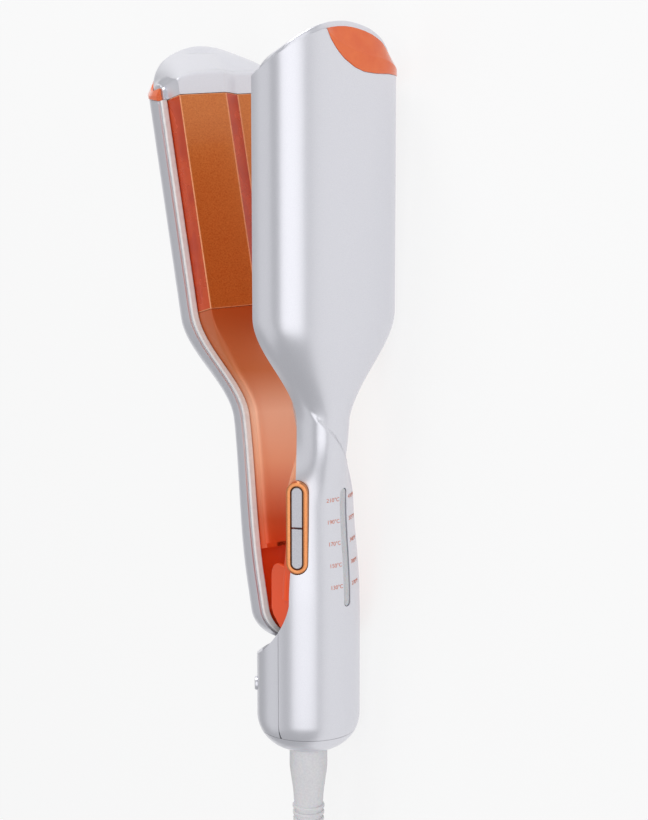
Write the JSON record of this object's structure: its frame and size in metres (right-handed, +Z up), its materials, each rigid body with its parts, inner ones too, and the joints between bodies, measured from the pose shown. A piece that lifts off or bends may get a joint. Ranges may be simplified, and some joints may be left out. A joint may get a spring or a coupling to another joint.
{
  "type": "hair waver",
  "caption": "Hair waver with a sprung lever arm, S-shaped heated plates, temperature keys, level light and a swivelling mains cord, lying on its side.",
  "frame": {"origin": "middle of the tool's footprint on the table it lies on, without its cord", "axes": "+Y along the tool from the cord end to the heads, +Z up from the table, +X from the lever arm towards the fixed arm"},
  "size_m": [0.1342, 0.4804, 0.0637],
  "materials": {
    "casing": "satin silver-lacquered ABS",
    "trim": "glossy white",
    "copper_plastic": "satin copper-orange",
    "insert": "glossy orange",
    "plate": "sparkling bronze-orange coating on aluminium",
    "heater": "plain",
    "carrier": "moulded heat-resistant nylon",
    "sensor": "plain black",
    "board": "green solder mask",
    "components": "plain",
    "light": "frosted light guide",
    "copper_trim": "copper-plated",
    "key": "satin silver",
    "steel": "plain",
    "brass": "plain",
    "cord_white": "matt white PVC"
  },
  "bodies": {
    "handle": {"main_shell": "casing", "rear_shell": "casing", "end_cap": "casing", "chassis": "carrier", "main_trim": "trim", "main_liner": "copper_plastic", "main_plate": "plate", "main_heater": "heater", "main_carrier": "carrier", "main_end_cap": "casing", "main_tip_insert": "insert", "main_sensor": "sensor", "control_board": "board", "board_parts": "components", "light_strip": "board", "level_light": "light", "key_bezel": "copper_trim", "key_board": "board", "power_switch": "sensor", "hinge_pin": "steel", "opening_spring": "steel", "cord": "cord_white", "cord_coil": "cord_white", "cord_tail": "cord_white", "plug": "cord_white", "plug_pins": "steel"},
    "lever": {"lever_shell": "casing", "lever_trim": "trim", "lever_liner": "copper_plastic", "lever_knuckle": "copper_plastic", "lever_plate": "plate", "lever_heater": "heater", "lever_carrier": "carrier", "lever_end_cap": "casing", "lever_tip_insert": "insert", "lever_sensor": "sensor"},
    "plus_key": {"plus_key": "key"},
    "minus_key": {"minus_key": "key"},
    "power_button": {"power_button": "key"},
    "cord_swivel": {"strain_relief": "cord_white", "swivel_terminal": "brass"}
  },
  "joints": [
    {"name": "lever_hinge", "type": "hinge", "parent": "handle", "child": "lever", "pos_m": [0.02884, -0.08688, 0.02209], "axis": [0, 0.053, -0.9986], "range_deg": [0, 17], "stiffness_Nm_per_rad": 1, "springref_deg": -5.73},
    {"name": "plus_key_slide", "type": "slide", "parent": "handle", "child": "plus_key", "axis": [-0.7349, 0.036, -0.6772], "range_m": [0, 0.0004], "stiffness_N_per_m": 400, "springref_m": -0.0005},
    {"name": "minus_key_slide", "type": "slide", "parent": "handle", "child": "minus_key", "axis": [-0.7349, 0.036, -0.6772], "range_m": [0, 0.0004], "stiffness_N_per_m": 400, "springref_m": -0.0005},
    {"name": "power_button_slide", "type": "slide", "parent": "handle", "child": "power_button", "axis": [0.5, 0.0459, -0.8648], "range_m": [0, 0.0004], "stiffness_N_per_m": 400, "springref_m": -0.0005},
    {"name": "cord_swivel_spin", "type": "hinge", "parent": "handle", "child": "cord_swivel", "pos_m": [0.03284, -0.1408, 0.01923], "axis": [0, 0.9986, 0.053], "continuous": true}
  ]
}
